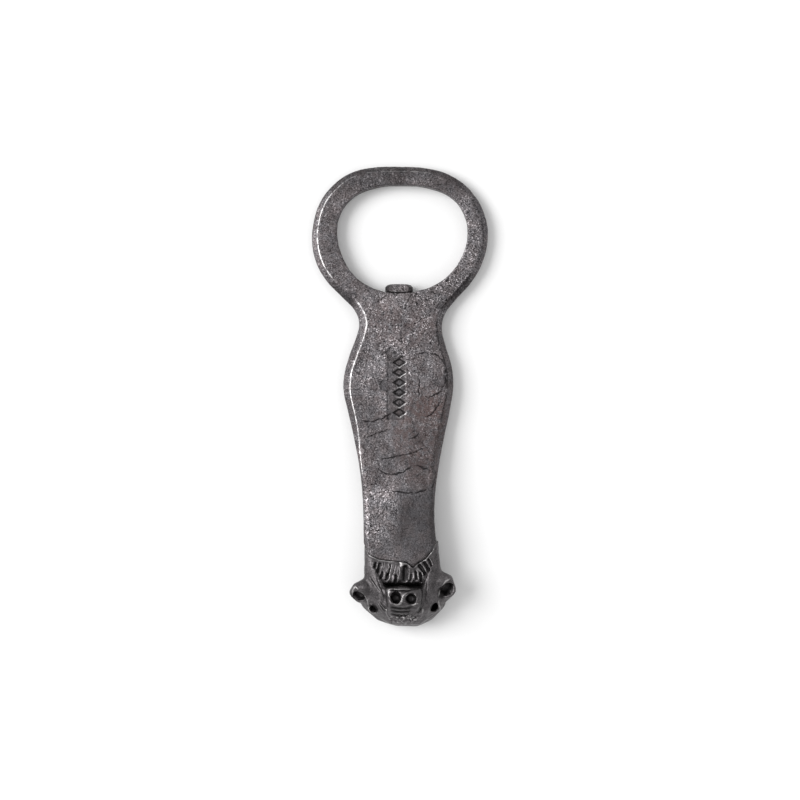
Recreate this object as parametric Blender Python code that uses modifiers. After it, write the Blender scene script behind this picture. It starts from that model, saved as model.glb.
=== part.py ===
"""Hand-forged bottle opener: a flat steel bar drifted open into a ring at one end, a round-headed stud that
lifts the cap, and a bear's head that is pinned on a tenon at the other end.

The opener lies on its back. X runs across it, +Y along the handle towards the ring, and +Z out of its face.
The origin is under the middle of its bounding box, on the surface that it rests on.
Sizes below are in millimetres, and the scene is in metres.
"""

import bmesh
import bpy
from mathutils import Matrix, Vector

MM = 0.001

# Bar: ring and handle
BAR_THICK = 6.0
EDGE_CHAMFER = 1.9
CURVE_STEPS = 6
ROD_SEGMENTS = 24
# How thick the bar is along Y: thinnest round the ring, thickest where the head is fitted
THICKNESS = [(70.0, 4.6), (36.0, 4.8), (22.0, 6.0), (-6.0, 6.6), (-26.0, 8.8), (-46.0, 11.0)]
OUTLINE_RIGHT = [
    (9.0, 69.5), (16.5, 66.9), (22.6, 61.6), (26.1, 54.6), (26.9, 48.2), (25.4, 41.3), (21.9, 34.9),
    (16.6, 28.9), (13.6, 24.7), (12.8, 20.6), (13.9, 15.4), (15.8, 8.8), (16.3, 3.4), (15.3, -3.8),
    (13.3, -13.3), (11.4, -24.0), (10.5, -33.0), (10.7, -42.0), (11.6, -48.0), (12.2, -56.0),
]
OUTLINE_LEFT = [
    (-8.5, 69.9), (-15.2, 68.2), (-20.6, 64.4), (-24.7, 58.8), (-26.6, 52.0), (-26.9, 47.4), (-25.6, 40.8),
    (-22.5, 35.3), (-17.6, 30.2), (-13.8, 26.1), (-12.5, 22.2), (-13.2, 18.6), (-15.4, 12.5), (-17.1, 5.8),
    (-17.2, 1.6), (-15.9, -4.6), (-13.9, -13.3), (-12.1, -23.0), (-11.3, -32.0),
    (-11.0, -42.0), (-10.9, -48.0), (-11.0, -56.0),
]
RING_TOP = (0.5, 70.0)
RING_HOLE = [
    (0.5, 64.5), (9.4, 63.5), (15.9, 60.6), (19.6, 55.6), (20.7, 49.7), (19.4, 43.6), (15.6, 37.5),
    (9.6, 33.3), (4.6, 31.9), (4.4, 31.6), (-5.0, 31.6), (-5.2, 31.9), (-9.1, 33.3), (-14.2, 36.9),
    (-17.9, 43.3), (-19.3, 50.0), (-18.3, 55.6), (-14.4, 60.7), (-8.0, 63.6),
]
STUD_SEAT_CORNERS = {8, 9, 10, 11}
# Cutters that go right through the bar or the head reach between these heights, and this far to each side
THROUGH_Z = (-20.0, 30.0)
FAR_SIDE = 40.0
FAR_END = 90.0

# Seam: where the bar's end meets the head, seen from the face. It is a shallow U with one nick.
SEAM = [
    (13.0, -44.0), (10.8, -44.2), (9.9, -46.4), (7.8, -48.9), (5.2, -50.5), (3.9, -51.8), (2.0, -50.2),
    (-2.8, -49.5), (-6.4, -49.1), (-9.4, -47.6), (-10.8, -44.8), (-13.0, -44.6),
]
SEAM_GAP = 0.3
FIT_GAP = 0.1

# Tenon and its cross pin
TENON_WIDTH = 10.0
TENON_Z = (3.4, 7.2)
TENON_Y = (-55.0, -46.0)
PIN_R = 1.2
PIN_Y = -53.0
PIN_Z = 5.3
PIN_HALF_LENGTH = 10.9

# Stud: its axis lies along Y, and the rim of its head is flattened above and below.
# Its profile is (radius, place along Y), from the middle of the head's face to the end of the shank.
STUD_X = -0.3
STUD_Z = 2.7
STUD_SHANK_R = 1.7
STUD_SHANK_END_Y = 22.0
STUD_SOCKET_END_Y = 21.5
STUD_PROFILE = [
    (0.0, 34.1), (2.93, 34.1), (3.7, 33.85), (4.25, 33.25), (4.25, 32.03), (3.97, 31.75), (1.7, 31.75),
    (1.7, 22.4), (1.3, 22.0), (0.0, 22.0),
]
STUD_STEPS = 32
STUD_FLAT_Z = (0.2, 5.9)

# Bear's head: each mass is the convex hull of a few balls, given as (x, y, z, radius).
# It looks up out of the bar's face: the nose is on top, the mouth and beard are towards the handle, and the
# crown is at the far end. The balls are laid out as pairs, left and right, working away from the handle.
NECK_MASS = [
    (-9.1, -42.0, 1.6, 1.6), (10.0, -42.0, 1.6, 1.6), (-8.2, -42.0, 8.4, 2.6), (8.6, -42.0, 8.4, 2.6),
    (-9.1, -58.0, 1.6, 1.6), (10.6, -58.0, 1.6, 1.6), (-8.2, -56.0, 8.4, 2.6), (9.6, -56.0, 8.4, 2.6),
]
SKULL_MASS = [
    (-8.5, -62.1, 4.5, 3.7), (10.4, -62.3, 4.5, 3.7), (-5.0, -65.1, 4.6, 3.7), (7.6, -65.2, 4.6, 3.7),
    (-0.6, -66.4, 4.8, 3.7), (4.6, -66.5, 4.8, 3.7), (-8.0, -56.0, 5.6, 3.2), (9.6, -56.0, 5.6, 3.2),
]
CROWN_MASS = [
    (-5.0, -62.8, 11.2, 2.0), (7.6, -62.9, 11.2, 2.0), (-2.2, -66.7, 7.2, 2.6), (5.2, -66.9, 7.2, 2.6),
    (-8.7, -62.8, 7.4, 2.1), (10.7, -63.2, 7.4, 2.1), (1.2, -65.9, 10.4, 2.0),
]
LEFT_CHEEK_MASS = [
    (-8.7, -48.6, 9.0, 1.9), (-8.4, -50.6, 9.2, 1.5), (-5.6, -58.6, 12.2, 1.2), (-5.2, -62.6, 11.9, 1.3),
    (-9.4, -56.4, 9.2, 1.5), (-9.7, -61.4, 8.4, 1.5), (-5.0, -58.6, 3.0, 1.5), (-4.6, -64.6, 3.0, 1.5),
]
RIGHT_CHEEK_MASS = [
    (10.1, -48.2, 9.0, 1.9), (10.2, -50.4, 9.2, 1.5), (8.1, -58.2, 12.2, 1.2), (7.7, -62.6, 11.9, 1.3),
    (11.2, -55.6, 9.2, 1.5), (11.2, -61.6, 8.4, 1.5), (7.2, -58.4, 3.0, 1.5), (7.0, -64.8, 3.0, 1.5),
]
MUZZLE_MASS = [
    (-2.7, -58.6, 15.0, 1.5), (5.2, -58.6, 15.0, 1.5), (-2.4, -61.6, 15.2, 1.5), (4.8, -61.6, 15.2, 1.5),
    (-2.9, -59.0, 6.0, 1.5), (5.6, -59.0, 6.0, 1.5), (-2.2, -64.4, 11.8, 1.7), (4.7, -64.4, 11.8, 1.7),
]
HEAD_MASSES = [NECK_MASS, SKULL_MASS, CROWN_MASS, LEFT_CHEEK_MASS, RIGHT_CHEEK_MASS, MUZZLE_MASS]
LEFT_EAR = [
    (-9.2, -56.2, 8.2, 1.8), (-9.6, -61.4, 6.2, 2.0), (-13.6, -59.4, 8.4, 1.8), (-12.8, -58.0, 9.6, 1.8),
    (-11.8, -61.2, 6.4, 1.8), (-10.2, -57.8, 10.0, 1.7),
]
RIGHT_EAR = [
    (10.4, -54.0, 8.2, 1.9), (11.4, -61.8, 6.2, 2.0), (15.3, -58.6, 8.6, 1.8), (14.3, -55.4, 10.0, 1.8),
    (13.4, -60.8, 6.4, 1.8), (11.8, -56.0, 10.2, 1.8),
]
EARS = [LEFT_EAR, RIGHT_EAR]
EAR_CUPS = [
    [(-12.4, -60.2, 8.8, 1.7), (-13.8, -61.6, 12.4, 2.4), (-11.6, -62.6, 12.0, 1.8)],
    [(13.9, -57.9, 9.2, 2.0), (15.3, -59.4, 12.8, 2.7), (12.9, -60.6, 12.4, 2.0)],
]
BEARD_CUT = [
    (-7.4, -50.7, 11.3, 0.5), (9.0, -50.7, 11.3, 0.5), (-7.4, -51.2, 18.0, 0.5), (9.0, -51.2, 18.0, 0.5),
    (-3.8, -56.9, 7.6, 0.6), (5.8, -56.9, 7.6, 0.6), (-4.0, -57.0, 18.0, 0.6), (6.2, -57.0, 18.0, 0.6),
]
# Each punch leaves a round-bottomed pit: (centre, direction that it came from, radius, depth)
EYES = [
    ((-8.0, -64.0, 9.0), (-0.4, -0.4, 0.8), 1.45, 3.0),
    ((10.2, -63.5, 9.3), (0.4, -0.35, 0.8), 1.6, 3.0),
]
NOSTRILS = [
    ((-1.3, -60.2, 16.6), (0.0, 0.1, 1.0), 2.0, 2.2),
    ((3.4, -60.4, 16.6), (0.1, 0.0, 1.0), 1.95, 1.8),
]
PUNCH_LENGTH = 6.0
# A punch's nose is a little narrower than the pit, and its shank a little wider
PUNCH_NOSE = 0.8
PUNCH_SHANK = 1.2
ROUGH_VOXEL = 0.45
FINE_VOXEL = 0.26
SMOOTHING = 0.5
HEAD_TRIANGLES = 6000

STEEL_COLOR = (0.115, 0.110, 0.108, 1.0)
HEAD_COLOR = (0.085, 0.082, 0.082, 1.0)
PIN_COLOR = (0.20, 0.195, 0.19, 1.0)
BAR_ROUGHNESS = 0.5
HEAD_ROUGHNESS = 0.42
PIN_ROUGHNESS = 0.38
SHARP_ANGLE = 0.6
WELD_DISTANCE = 1e-6


def mm(x, y, z):
    return Vector((x, y, z)) * MM


def clear_scene():
    for old in list(bpy.data.objects):
        bpy.data.objects.remove(old)


def new_collection(name):
    collection = bpy.data.collections.new(name)
    bpy.context.scene.collection.children.link(collection)
    return collection


def steel(name, color, roughness):
    material = bpy.data.materials.new(name)
    material.use_nodes = True
    shader = material.node_tree.nodes["Principled BSDF"]
    shader.inputs["Base Color"].default_value = color
    shader.inputs["Metallic"].default_value = 1.0
    shader.inputs["Roughness"].default_value = roughness
    return material


def add_object(name, data, collection, material=None):
    made = bpy.data.objects.new(name, data)
    collection.objects.link(made)
    if material:
        made.data.materials.append(material)
    return made


def add_cutter(name, mesh):
    """A helper solid, kept out of renders and of the build."""
    cutter = add_object(name, mesh, cutters)
    cutter.hide_render = True
    cutter.display_type = "WIRE"
    return cutter


def mesh_of(source):
    """The mesh that an object's modifiers or curve settings make, with its caps welded, in world space."""
    bpy.context.view_layer.update()
    evaluated = source.evaluated_get(bpy.context.evaluated_depsgraph_get())
    mesh = bpy.data.meshes.new_from_object(evaluated)
    mesh.transform(source.matrix_world)
    shape = bmesh.new()
    shape.from_mesh(mesh)
    bmesh.ops.remove_doubles(shape, verts=shape.verts, dist=WELD_DISTANCE)
    bmesh.ops.recalc_face_normals(shape, faces=shape.faces)
    shape.to_mesh(mesh)
    shape.free()
    return mesh


def finished(source):
    """The finished mesh of a working object, which is then removed."""
    mesh = mesh_of(source)
    bpy.data.objects.remove(source)
    return mesh


def smooth_spline(curve, points, corners):
    """A closed Bezier spline through points, smooth except at the corners listed."""
    spline = curve.splines.new("BEZIER")
    spline.bezier_points.add(len(points) - 1)
    spline.use_cyclic_u = True
    for i, (x, y) in enumerate(points):
        point = spline.bezier_points[i]
        point.co = mm(x, y, 0)
        kind = "VECTOR" if i in corners else "AUTO"
        point.handle_left_type = kind
        point.handle_right_type = kind


def slab(name, points, corners, heights, chamfer=0.0):
    """The mesh of a flat outline, extruded between two heights, with chamfers inside that outline."""
    z_low, z_high = heights
    curve = bpy.data.curves.new(name, "CURVE")
    curve.dimensions = "2D"
    curve.fill_mode = "BOTH"
    curve.resolution_u = CURVE_STEPS
    curve.extrude = ((z_high - z_low) / 2 - chamfer) * MM
    curve.bevel_depth = chamfer * MM
    curve.bevel_resolution = 0
    curve.offset = -chamfer * MM
    smooth_spline(curve, points, corners)
    flat = add_object(name, curve, cutters)
    flat.location = mm(0, 0, (z_low + z_high) / 2)
    return finished(flat)


def modifier(target, kind, **settings):
    made = target.modifiers.new(kind.title(), kind)
    for key, value in settings.items():
        setattr(made, key, value)
    return made


def cut(target, name, mesh, operation="DIFFERENCE"):
    """Cuts the target with a new cutter, or keeps or adds what the operation says."""
    modifier(target, "BOOLEAN", operation=operation, object=add_cutter(name, mesh))


def block(x, y, z):
    """A box between the pairs x, y and z."""
    shape = bmesh.new()
    bmesh.ops.create_cube(shape, size=1.0)
    size = mm(x[1] - x[0], y[1] - y[0], z[1] - z[0])
    middle = mm(sum(x) / 2, sum(y) / 2, sum(z) / 2)
    place = Matrix.Translation(middle) @ Matrix.Diagonal(size.to_4d())
    bmesh.ops.transform(shape, matrix=place, verts=shape.verts)
    return to_mesh(shape, "block")


def to_mesh(shape, name):
    mesh = bpy.data.meshes.new(name)
    bmesh.ops.recalc_face_normals(shape, faces=shape.faces)
    shape.to_mesh(mesh)
    shape.free()
    return mesh


def rod(start, end, radius):
    """A round bar between two points."""
    axis = Vector(end) - Vector(start)
    turn = axis.to_track_quat("Z", "X").to_matrix().to_4x4()
    middle = (Vector(start) + Vector(end)) / 2 * MM
    shape = bmesh.new()
    bmesh.ops.create_cone(
        shape,
        cap_ends=True,
        segments=ROD_SEGMENTS,
        radius1=radius * MM,
        radius2=radius * MM,
        depth=axis.length * MM,
        matrix=Matrix.Translation(middle) @ turn,
    )
    return to_mesh(shape, "rod")


def ball_points():
    """The points of a small ball of radius 1."""
    shape = bmesh.new()
    bmesh.ops.create_icosphere(shape, subdivisions=3, radius=1.0)
    points = [vertex.co.copy() for vertex in shape.verts]
    shape.free()
    return points


def add_hull(shape, balls):
    """Adds the convex hull of balls, each (x, y, z, radius), to the bmesh."""
    made = []
    for x, y, z, radius in balls:
        made += [shape.verts.new(mm(x, y, z) + point * radius * MM) for point in BALL]
    hull = bmesh.ops.convex_hull(shape, input=made)
    unused = hull["geom_interior"] + hull["geom_unused"]
    inside = {item for item in unused if isinstance(item, bmesh.types.BMVert)}
    bmesh.ops.delete(shape, geom=list(inside), context="VERTS")


def ease(value, start, end):
    """Smooth step from 0 at start to 1 at end."""
    share = min(1.0, max(0.0, (value - start) / (end - start)))
    return share * share * (3 - 2 * share)


def thickness_at(y):
    """The bar's thickness at a place along Y."""
    thick = THICKNESS[0][1]
    for (y_from, before), (y_to, after) in zip(THICKNESS, THICKNESS[1:]):
        thick += (after - before) * ease(y, y_from, y_to)
    return thick


def draw_out(mesh):
    """Gives the bar its changing thickness, leaving its back flat."""
    for vertex in mesh.vertices:
        vertex.co.z *= thickness_at(vertex.co.y / MM) / BAR_THICK


def beyond_seam(far_y, shift):
    """A prism that reaches from the seam, moved by shift along Y, out to far_y."""
    outline = [(x, y + shift) for x, y in SEAM]
    outline += [(SEAM[-1][0], far_y), (SEAM[0][0], far_y)]
    return slab("beyond_seam", outline, range(len(outline)), THROUGH_Z)


def pin_drill():
    """The hole for the cross pin, which runs through the head and the tenon in line."""
    return rod((-FAR_SIDE, PIN_Y, PIN_Z), (FAR_SIDE, PIN_Y, PIN_Z), PIN_R + FIT_GAP)


def build_bar(material):
    """The ring and handle, with the stud's socket and the tenon."""
    outline = [RING_TOP] + OUTLINE_RIGHT + OUTLINE_LEFT[::-1]
    last = len(OUTLINE_RIGHT)
    bar_mesh = slab("bar_blank", outline, {last, last + 1}, (0.0, BAR_THICK), EDGE_CHAMFER)
    draw_out(bar_mesh)
    bar = add_object("opener_body", bar_mesh, parts, material)
    cut(bar, "ring_hole", slab("ring_hole", RING_HOLE, STUD_SEAT_CORNERS, THROUGH_Z))
    cut(bar, "beyond_seam", beyond_seam(-FAR_END, 0.0))
    half = TENON_WIDTH / 2
    cut(bar, "tenon", block((-half, half), TENON_Y, TENON_Z), "UNION")
    cut(bar, "pin_hole_in_tenon", pin_drill())
    socket_end = (STUD_X, STUD_SOCKET_END_Y, STUD_Z)
    ring_middle = (STUD_X, FAR_SIDE, STUD_Z)
    cut(bar, "stud_socket", rod(socket_end, ring_middle, STUD_SHANK_R + FIT_GAP))


def build_stud(material):
    """The turned stud, with flats on the rim of its head."""
    mesh = bpy.data.meshes.new("stud_profile")
    points = [mm(r, 0, along) for r, along in STUD_PROFILE]
    mesh.from_pydata(points, [(i, i + 1) for i in range(len(points) - 1)], [])
    turned = add_object("stud_profile", mesh, cutters)
    modifier(
        turned,
        "SCREW",
        steps=STUD_STEPS,
        render_steps=STUD_STEPS,
        use_merge_vertices=True,
        merge_threshold=WELD_DISTANCE,
    )
    turned.rotation_euler = Vector((0, 1, 0)).to_track_quat("Z", "X").to_euler()
    turned.location = mm(STUD_X, 0, STUD_Z)
    stud = add_object("cap_stud", finished(turned), parts, material)
    sides = (-FAR_SIDE, FAR_SIDE)
    cut(stud, "stud_flats", block(sides, sides, STUD_FLAT_Z), "INTERSECT")


def hull_mesh(name, masses):
    shape = bmesh.new()
    for balls in masses:
        add_hull(shape, balls)
    return to_mesh(shape, name)


def punch_mesh(centre, way, radius, depth):
    """A round-nosed punch, driven in to the given depth below the centre."""
    way = Vector(way).normalized()
    nose = Vector(centre) + way * (radius * PUNCH_NOSE - depth)
    top = Vector(centre) + way * PUNCH_LENGTH
    return hull_mesh("punch", [[(*nose, radius * PUNCH_NOSE), (*top, radius * PUNCH_SHANK)]])


def build_head(material):
    """The bear's head: masses fused together, hollowed and punched, then fitted to the bar's end."""
    rough = add_object("head_rough", hull_mesh("head_rough", HEAD_MASSES + EARS), cutters)
    modifier(rough, "REMESH", mode="VOXEL", voxel_size=ROUGH_VOXEL * MM)
    modifier(rough, "SMOOTH", factor=SMOOTHING, iterations=4)
    carved = add_object("head_carved", finished(rough), cutters)
    cut(carved, "beard_cut", hull_mesh("beard_cut", [BEARD_CUT]))
    for i, balls in enumerate(EAR_CUPS):
        cut(carved, f"ear_cup_{i}", hull_mesh("ear_cup", [balls]))
    for i, punch in enumerate(EYES + NOSTRILS):
        cut(carved, f"punch_{i}", punch_mesh(*punch))
    modifier(carved, "REMESH", mode="VOXEL", voxel_size=FINE_VOXEL * MM)
    modifier(carved, "SMOOTH", factor=SMOOTHING, iterations=3)
    fine = add_object("head_fine", finished(carved), cutters)
    triangles = sum(len(face.vertices) - 2 for face in fine.data.polygons)
    modifier(fine, "DECIMATE", ratio=HEAD_TRIANGLES / triangles)
    head = add_object("bear_head", finished(fine), parts, material)
    sides = (-FAR_SIDE, FAR_SIDE)
    cut(head, "under_head", block(sides, (-FAR_END, FAR_END), (THROUGH_Z[0], 0.0)))
    cut(head, "before_seam", beyond_seam(FAR_END, -SEAM_GAP))
    half = TENON_WIDTH / 2 + FIT_GAP
    socket_y = (TENON_Y[0] - SEAM_GAP, TENON_Y[1] + TENON_WIDTH)
    socket_z = (TENON_Z[0] - FIT_GAP, TENON_Z[1] + FIT_GAP)
    cut(head, "tenon_socket", block((-half, half), socket_y, socket_z))
    cut(head, "pin_hole_in_head", pin_drill())


def build_pin(material):
    """The cross pin through the head's neck and the tenon."""
    mesh = rod((-PIN_HALF_LENGTH, PIN_Y, PIN_Z), (PIN_HALF_LENGTH, PIN_Y, PIN_Z), PIN_R)
    add_object("head_pin", mesh, parts, material)


BALL = ball_points()

clear_scene()
parts = new_collection("bottle_opener")
cutters = new_collection("cutters")
bar_steel = steel("forged_steel", STEEL_COLOR, BAR_ROUGHNESS)
build_bar(bar_steel)
build_stud(bar_steel)
build_head(steel("carved_steel", HEAD_COLOR, HEAD_ROUGHNESS))
build_pin(steel("pin_steel", PIN_COLOR, PIN_ROUGHNESS))
for part in parts.objects:
    part.data.shade_smooth()
    part.data.set_sharp_from_angle(angle=SHARP_ANGLE)
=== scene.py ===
"""The looks of a hand-forged bottle opener: scaled bar steel, a rubbed stud and a chiselled bear's head.

The bar, the stud and the head are remeshed finely from their CAD nodes, and then worked as a smith would
work them: hammered, pitted, punched and chiselled. The cross pin keeps its CAD mesh. The sizes of that work
are in millimetres, in the plan of the opener's face. Part of the light and dark that the work paints is
painted light: highlights and glints where surfaces face the key, and shade where they face away or lie in
shadow.
"""

import bpy
import numpy as np
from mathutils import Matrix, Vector
from mathutils.kdtree import KDTree


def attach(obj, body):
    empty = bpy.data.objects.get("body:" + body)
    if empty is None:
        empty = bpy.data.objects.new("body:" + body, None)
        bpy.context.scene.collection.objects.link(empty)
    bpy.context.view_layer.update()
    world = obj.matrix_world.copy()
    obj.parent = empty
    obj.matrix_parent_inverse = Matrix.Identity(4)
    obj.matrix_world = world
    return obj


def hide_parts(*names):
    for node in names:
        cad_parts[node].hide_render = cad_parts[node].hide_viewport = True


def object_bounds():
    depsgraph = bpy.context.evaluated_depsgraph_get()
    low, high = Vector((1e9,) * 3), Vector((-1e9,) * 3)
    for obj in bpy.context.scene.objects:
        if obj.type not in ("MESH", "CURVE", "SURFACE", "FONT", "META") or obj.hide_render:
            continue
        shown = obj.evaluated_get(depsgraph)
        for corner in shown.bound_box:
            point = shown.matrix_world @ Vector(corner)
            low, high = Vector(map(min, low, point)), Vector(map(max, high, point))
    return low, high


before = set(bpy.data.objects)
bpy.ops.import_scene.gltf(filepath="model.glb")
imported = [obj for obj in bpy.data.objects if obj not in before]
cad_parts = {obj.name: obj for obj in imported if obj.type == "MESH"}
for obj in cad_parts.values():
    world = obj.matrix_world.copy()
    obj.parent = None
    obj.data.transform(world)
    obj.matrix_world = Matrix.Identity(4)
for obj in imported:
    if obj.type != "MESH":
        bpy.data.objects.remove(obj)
cad_low, cad_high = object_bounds()
scene = bpy.context.scene

MM = 0.001
# Points along each side of the noise's lattice, and along a path once its corners are rounded
LATTICE = 48
PATH_POINTS = 12
# Voxel sizes in millimetres, and the most triangles that a large and a small piece keep
BAR_VOXEL = 0.25
STUD_VOXEL = 0.12
HEAD_VOXEL = 0.155
LARGE_PIECE = 190000
SMALL_PIECE = 60000

# Camera: straight above the face, at a distance that gives the face its slight perspective
CAMERA_HEIGHT = 0.523
CAMERA_AIM = (0.0, -0.0012)
CAMERA_LENS = 76.5
SENSOR = 36.0
# Light: one softbox to the upper left, aimed at the middle, and an even white world
KEY_PLACE = (-1.42, 0.34, 1.35)
KEY_SIZE = 1.25
KEY_POWER = 38.5
WORLD_STRENGTH = 0.78
# The floor's half width in metres, and how far it lies below the opener in millimetres
FLOOR_HALF = 1.5
FLOOR_GAP = 0.05


# ---------------------------------------------------------------- mesh work


class Work:
    """The points of a piece in millimetres, with the tools to hammer, pit, punch and chisel them."""

    def __init__(self, piece):
        self.piece = piece
        mesh = piece.data
        count = len(mesh.vertices)
        flat = np.empty(count * 3, np.float32)
        mesh.vertices.foreach_get("co", flat)
        self.points = flat.reshape(count, 3).astype(float) / MM
        ends = np.empty(len(mesh.edges) * 2, np.int32)
        mesh.edges.foreach_get("vertices", ends)
        self.ends = ends.reshape(-1, 2)
        self.valence = np.bincount(ends, minlength=count)
        self.dark = np.zeros(count)
        self.bright = np.zeros(count)
        self.refresh()

    def refresh(self):
        """Writes the points to the mesh and reads its normals again."""
        mesh = self.piece.data
        mesh.vertices.foreach_set("co", (self.points * MM).astype(np.float32).ravel())
        mesh.update()
        flat = np.empty(len(self.points) * 3, np.float32)
        mesh.vertex_normals.foreach_get("vector", flat)
        self.normals = flat.reshape(-1, 3).astype(float)

    def push(self, amount):
        """Moves every point along its normal by its amount."""
        self.points += self.normals * np.asarray(amount)[:, None]

    def neighbour_mean(self, values):
        """The mean of each point's neighbours' values."""
        columns = values.reshape(len(values), -1)
        a, b = self.ends.T
        total = np.empty(columns.shape)
        for i, column in enumerate(columns.T):
            total[:, i] = np.bincount(a, column[b], len(values)) + np.bincount(b, column[a], len(values))
        return (total / self.valence[:, None]).reshape(values.shape)

    def blur(self, values, rounds):
        for _ in range(rounds):
            values = 0.5 * values + 0.5 * self.neighbour_mean(values)
        return values

    def relax(self, rounds):
        for _ in range(rounds):
            self.points += 0.5 * (self.neighbour_mean(self.points) - self.points)
        self.refresh()

    def soften(self, share, rounds):
        """Rounds the surface off, most where its share is 1."""
        for _ in range(rounds):
            self.points += 0.5 * share[:, None] * (self.neighbour_mean(self.points) - self.points)
        self.refresh()

    def facing_up(self, low=0.15, high=0.5):
        """1 where a point faces up, fading to 0 on walls and below."""
        return ease(self.normals[:, 2], low, high)

    def bulge(self, rounds):
        """How far each point stands proud of its surroundings, in millimetres: positive on ridges."""
        smooth = self.blur(self.points, rounds)
        return ((self.points - smooth) * self.normals).sum(1)

    def store(self, name, values):
        layer = self.piece.data.attributes.new(name, "FLOAT", "POINT")
        layer.data.foreach_set("value", np.clip(values, 0.0, 2.0).astype(np.float32))


def ease(values, start, end):
    share = np.clip((values - start) / (end - start), 0.0, 1.0)
    return share * share * (3.0 - 2.0 * share)


def grain(points, size, seed):
    """Smooth noise from -1 to 1, with lumps about size millimetres across."""
    rng = np.random.default_rng(seed)
    lattice = rng.uniform(-1.0, 1.0, (LATTICE,) * 3)
    spots = points / size + rng.uniform(0.0, LATTICE, 3)
    cell = np.floor(spots).astype(int)
    share = spots - cell
    share = share * share * (3.0 - 2.0 * share)
    total = np.zeros(len(points))
    for corner in np.ndindex(2, 2, 2):
        weight = np.prod(np.where(corner, share, 1.0 - share), axis=1)
        index = (cell + corner) % LATTICE
        total += weight * lattice[index[:, 0], index[:, 1], index[:, 2]]
    return total


def cloudy(points, size, seed, octaves=3):
    """Noise with finer noise on it, about -1 to 1."""
    layers = [grain(points, size / 2**i, seed + i) / 2**i for i in range(octaves)]
    return sum(layers) / 1.2


def from_path(points, path):
    """Each point's distance in the plan to a path of (x, y) points, and its place along the path, 0 to 1.

    The distance is positive to the left of the path's direction, and negative to its right.
    """
    path = np.asarray(path, float)
    steps = np.diff(path, axis=0)
    lengths = np.hypot(*steps.T)
    starts = np.concatenate([[0.0], np.cumsum(lengths)[:-1]]) / lengths.sum()
    best = np.full(len(points), np.inf)
    along = np.zeros(len(points))
    for start, step, length, begin in zip(path, steps, lengths, starts):
        offset = points[:, :2] - start
        share = np.clip(offset @ step / length**2, 0.0, 1.0)
        distance = np.hypot(*(offset - share[:, None] * step).T)
        side = np.where(step[0] * offset[:, 1] > step[1] * offset[:, 0], 1.0, -1.0)
        nearer = distance < np.abs(best)
        best[nearer] = (side * distance)[nearer]
        along[nearer] = (begin + share * length / lengths.sum())[nearer]
    return best, along


def smooth_path(path):
    """A path through the same points, with its corners rounded."""
    path = np.asarray(path, float)
    if len(path) < 3:
        return path
    knots = np.linspace(0.0, 1.0, len(path))
    fine = np.linspace(0.0, 1.0, PATH_POINTS)
    rough = np.column_stack([np.interp(fine, knots, path[:, i]) for i in range(2)])
    for _ in range(2):
        rough[1:-1] = (rough[:-2] + 2.0 * rough[1:-1] + rough[2:]) / 4.0
    return rough


def stroke(work, path, reach_out):
    """Which points lie near a path and face up, their distance from it, and a weight fading at its ends."""
    path = smooth_path(path)
    plan = work.points[:, :2]
    near = ((plan > path.min(0) - reach_out) & (plan < path.max(0) + reach_out)).all(1)
    near &= work.normals[:, 2] > 0.0
    distance, along = from_path(work.points[near], path)
    weight = ease(np.minimum(along, 1.0 - along), -0.02, 0.2) * ease(work.normals[near, 2], 0.0, 0.3)
    return near, distance, weight


def groove(work, path, width, depth, dark, bright, burr=0.25):
    """A chisel line with a low burr on each side, dark at the bottom and burnished on the burrs."""
    near, distance, weight = stroke(work, path, 2.2 * width)
    reach = np.abs(distance) / width
    cut = np.exp(-((reach / 0.55) ** 2)) * weight
    edge = np.exp(-(((reach - 1.15) / 0.35) ** 2)) * weight
    work.points[near, 2] -= depth * (cut - burr * edge)
    work.dark[near] += dark * cut
    work.bright[near] += bright * edge


def weld_line(work, path, width, height, bright):
    """A raised line, burnished on top."""
    near, distance, weight = stroke(work, path, 2.0 * width)
    top = np.exp(-((distance / width) ** 2)) * weight
    work.points[near, 2] += height * top
    work.bright[near] += bright * top


def lap(work, path, height, spread):
    """Scale folded over the next scale: a step up on the path's left, which dies away over the spread."""
    near, distance, weight = stroke(work, path, 2.5 * spread)
    weight = weight * (0.55 + 0.45 * ease(grain(work.points[near], 1.3, 91), -0.5, 0.3))
    step = ease(distance, -0.14, 0.14) * np.exp(-np.maximum(distance, 0.0) / spread) * weight
    foot = np.exp(-(((distance + 0.12) / 0.24) ** 2)) * weight
    crest = np.exp(-(((distance - 0.30) / 0.16) ** 2)) * weight
    # The dark at the step's foot is painted shade under the step, and the light along its crest a painted
    # highlight
    work.points[near, 2] += height * (step - 0.5 * foot)
    work.dark[near] += 0.95 * foot
    work.bright[near] += 0.12 * crest


def dent(work, x, y, radius, depth, rim, dark, bright):
    """A round punch mark with a raised rim."""
    reach = np.hypot(work.points[:, 0] - x, work.points[:, 1] - y) / radius
    up = work.facing_up(0.0, 0.3)
    cut = (1.0 - ease(reach, 0.55, 1.0)) * up
    edge = np.exp(-(((reach - 1.12) / 0.16) ** 2)) * up
    work.points[:, 2] -= depth * (cut - rim * edge)
    work.dark += dark * cut
    work.bright += bright * edge


def spot(points, x, y, half_x, half_y):
    """1 in the middle of an oval patch in the plan, fading to 0 past its edge."""
    reach = np.hypot((points[:, 0] - x) / half_x, (points[:, 1] - y) / half_y)
    return 1.0 - ease(reach, 0.6, 1.4)


def modified_mesh(thing):
    """A new mesh of an object as its modifiers leave it."""
    bpy.context.view_layer.update()
    depsgraph = bpy.context.evaluated_depsgraph_get()
    return bpy.data.meshes.new_from_object(thing.evaluated_get(depsgraph))


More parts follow.
